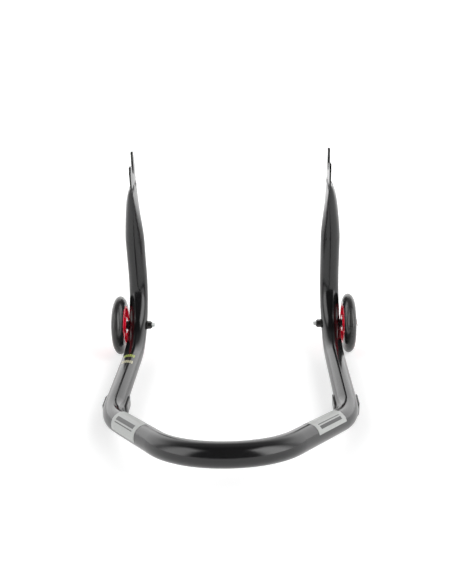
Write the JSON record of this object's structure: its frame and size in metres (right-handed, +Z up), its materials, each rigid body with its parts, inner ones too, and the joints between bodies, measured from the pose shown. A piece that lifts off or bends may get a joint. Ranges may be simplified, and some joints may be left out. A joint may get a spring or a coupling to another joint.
{
  "type": "motorcycle paddock stand",
  "caption": "Rear paddock stand bent from one round tube, with crushed fork ends, saddle feet and small spoked wheels on through bolts.",
  "frame": {"origin": "middle of the bounding box, on the floor", "axes": "+Y from the handle towards the uprights and wheels, +X to the right, +Z up"},
  "size_m": [0.4658, 0.5582, 0.3803],
  "materials": {
    "frame_paint": "satin black powder coat",
    "foot_plastic": "smooth moulded black",
    "tyre_rubber": "smooth black polyurethane",
    "core_plastic": "moulded red nylon",
    "dark_steel": "black oxide",
    "zinc_steel": "bright zinc plated",
    "nut_nylon": "nylon locking ring",
    "bearing_steel": "ground bearing steel",
    "bearing_shield": "black bearing shield",
    "decal_film": "satin silver film"
  },
  "bodies": {
    "stand": {"frame_tube": "frame_paint", "foot_left": "foot_plastic", "foot_right": "foot_plastic", "foot_screw_left": "dark_steel", "foot_screw_right": "dark_steel", "decal_left": "decal_film", "decal_right": "decal_film", "axle_sleeve_left": "dark_steel", "axle_bolt_left": "zinc_steel", "lock_nut_left": "dark_steel", "nut_insert_left": "nut_nylon", "inner_spacer_left": "dark_steel", "outer_spacer_left": "dark_steel", "head_washer_left": "zinc_steel", "nut_washer_left": "dark_steel", "bearing_spacer_left": "bearing_steel", "inboard_inner_race_left": "bearing_steel", "outboard_inner_race_left": "bearing_steel", "axle_sleeve_right": "dark_steel", "axle_bolt_right": "zinc_steel", "lock_nut_right": "dark_steel", "nut_insert_right": "nut_nylon", "inner_spacer_right": "dark_steel", "outer_spacer_right": "dark_steel", "head_washer_right": "zinc_steel", "nut_washer_right": "dark_steel", "bearing_spacer_right": "bearing_steel", "inboard_inner_race_right": "bearing_steel", "outboard_inner_race_right": "bearing_steel"},
    "wheel_left": {"tyre_left": "tyre_rubber", "wheel_core_left": "core_plastic", "inboard_outer_race_left": "bearing_steel", "outboard_outer_race_left": "bearing_steel", "inboard_shields_left": "bearing_shield", "outboard_shields_left": "bearing_shield", "inboard_cage_left": "bearing_steel", "outboard_cage_left": "bearing_steel", "inboard_balls_left": "bearing_steel", "outboard_balls_left": "bearing_steel"},
    "wheel_right": {"tyre_right": "tyre_rubber", "wheel_core_right": "core_plastic", "inboard_outer_race_right": "bearing_steel", "outboard_outer_race_right": "bearing_steel", "inboard_shields_right": "bearing_shield", "outboard_shields_right": "bearing_shield", "inboard_cage_right": "bearing_steel", "outboard_cage_right": "bearing_steel", "inboard_balls_right": "bearing_steel", "outboard_balls_right": "bearing_steel"}
  },
  "joints": [
    {"name": "wheel_left_spin", "type": "hinge", "parent": "stand", "child": "wheel_left", "pos_m": [-0.21394, 0.22415, 0.055], "axis": [1, 0, 0], "continuous": true},
    {"name": "wheel_right_spin", "type": "hinge", "parent": "stand", "child": "wheel_right", "pos_m": [0.21394, 0.22415, 0.055], "axis": [1, 0, 0], "continuous": true}
  ]
}
